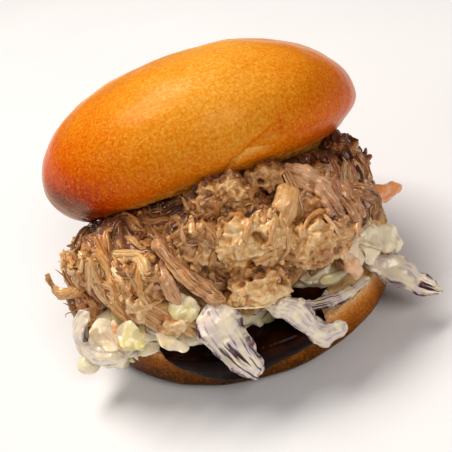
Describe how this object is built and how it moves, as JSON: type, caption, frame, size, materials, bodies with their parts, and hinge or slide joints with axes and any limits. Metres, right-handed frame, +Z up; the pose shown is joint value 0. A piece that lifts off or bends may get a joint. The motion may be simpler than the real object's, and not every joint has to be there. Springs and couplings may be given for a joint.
{
  "type": "pulled pork sandwich",
  "caption": "Pulled pork sandwich in a cut brioche bun with barbecue sauce and creamy coleslaw, its crown leaning back over the heaped filling.",
  "frame": {"origin": "centre of the heel's flat base, on the surface that the sandwich stands on", "axes": "+Z up; -Y towards the open front, where the filling shows; +X to the right seen from the front"},
  "size_m": [0.1157, 0.1201, 0.0888],
  "materials": {
    "crust_heel": "baked brioche crust, satin, darker underneath, with a toasted porous crumb on its cut face",
    "crust_crown": "egg-washed brioche crust, glossy golden orange with fine pale blisters",
    "sauce": "thick barbecue sauce, near black and mirror wet",
    "slaw": "cream dressing over shredded vegetables, smooth and wet",
    "red_cabbage": "red cabbage in cream dressing, lilac white with dark purple edges",
    "white_cabbage": "white cabbage in cream dressing, pale yellow green",
    "carrot": "carrot shreds in cream dressing, peach orange",
    "pork": "slow-cooked pulled pork, tan fibres, moist",
    "pork_pink": "smooth strips of pork, pinkish tan, wet",
    "pork_dark": "dark outer meat and browned onion, moist"
  },
  "bodies": {
    "root": {"bun_heel": "crust_heel", "bun_crown": "crust_crown", "barbecue_sauce": "sauce", "coleslaw": "slaw", "pulled_pork": "pork", "cabbage_leaf_front": "red_cabbage", "cabbage_fold_front": "red_cabbage", "cabbage_strip_right": "red_cabbage", "cabbage_leaf_right": "red_cabbage", "cabbage_curl_right": "white_cabbage", "cabbage_strip_hanging": "carrot", "carrot_strip_right": "carrot", "slaw_drape_left": "red_cabbage", "cabbage_fold_centre": "white_cabbage", "dressing_blob": "slaw", "pork_chunk_smooth": "pork_pink", "pork_strip_upper": "pork_pink", "pork_strip_long": "pork_pink", "pork_strip_edge": "pork_pink", "pork_strand_long": "pork_pink", "pork_strand_short": "pork_pink", "pork_strand_tip": "pork", "onion_curl": "pork_dark", "pork_clump_centre": "pork", "pork_clump_low": "pork", "pork_clump_right": "pork", "pork_chunk_upper": "pork", "pork_chunk_shaded": "pork", "pork_chunk_back": "pork_dark", "pork_chunk_inner": "pork", "pork_chunk_round": "pork_pink", "pork_chunk_left": "pork_dark"}
  },
  "joints": []
}
